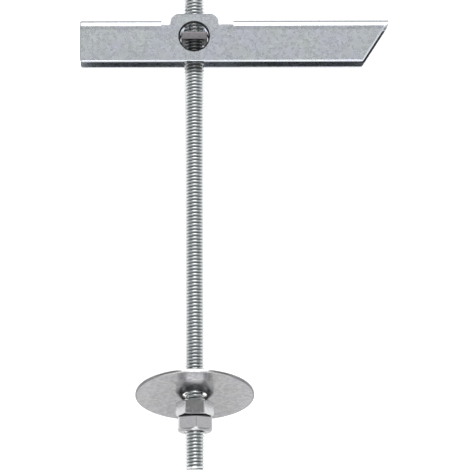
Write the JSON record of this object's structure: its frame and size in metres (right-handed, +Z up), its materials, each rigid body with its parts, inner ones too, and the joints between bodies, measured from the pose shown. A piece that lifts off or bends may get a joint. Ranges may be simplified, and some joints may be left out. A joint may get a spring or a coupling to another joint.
{
  "type": "toggle bolt",
  "caption": "Hollow-ceiling toggle bolt: a slotted U-channel bar pivots on a plate nut, on a threaded rod with a large washer and locked hexagon nuts.",
  "frame": {"origin": "middle of the bounding box's foot: the part lies on z = 0, on the washer's rim and the bar's ears", "axes": "+Y along the lying rod, from the nuts to the bar; X along the bar, its long slanted arm towards +X; +Z up"},
  "size_m": [0.092, 0.1496, 0.0327],
  "materials": {
    "bar_zinc": "spangled zinc-coated sheet, cut edges slightly rolled",
    "rod_zinc": "bright zinc-plated rolled thread",
    "washer_zinc": "satin zinc plate",
    "nut_zinc": "bright zinc plate"
  },
  "bodies": {
    "rod": {"threaded_rod": "rod_zinc"},
    "plate_nut": {"pivot_nut": "nut_zinc"},
    "bar": {"toggle_bar": "bar_zinc"},
    "upper_nut": {"hex_nut": "nut_zinc"},
    "loose_washer": {"washer": "washer_zinc"},
    "locking_nut": {"lock_nut": "nut_zinc"}
  },
  "joints": [
    {"name": "plate_nut_travel", "type": "slide", "parent": "rod", "child": "plate_nut", "axis": [0, 0.9947, -0.1028], "range_m": [-0.006, 0.018]},
    {"name": "bar_pivot", "type": "hinge", "parent": "plate_nut", "child": "bar", "pos_m": [-0.01215, 0.05401, 0.00509], "axis": [0, -0.1028, -0.9947], "range_deg": [-52, 46]},
    {"name": "upper_nut_travel", "type": "slide", "parent": "rod", "child": "upper_nut", "axis": [0, 0.9947, -0.1028], "range_m": [0, 0.045]},
    {"name": "washer_slide", "type": "slide", "parent": "upper_nut", "child": "loose_washer", "axis": [0, 0.9947, -0.1028], "range_m": [0, 0.015]},
    {"name": "lock_nut_travel", "type": "slide", "parent": "upper_nut", "child": "locking_nut", "axis": [0, -0.9947, 0.1028], "range_m": [0, 0.01]}
  ]
}
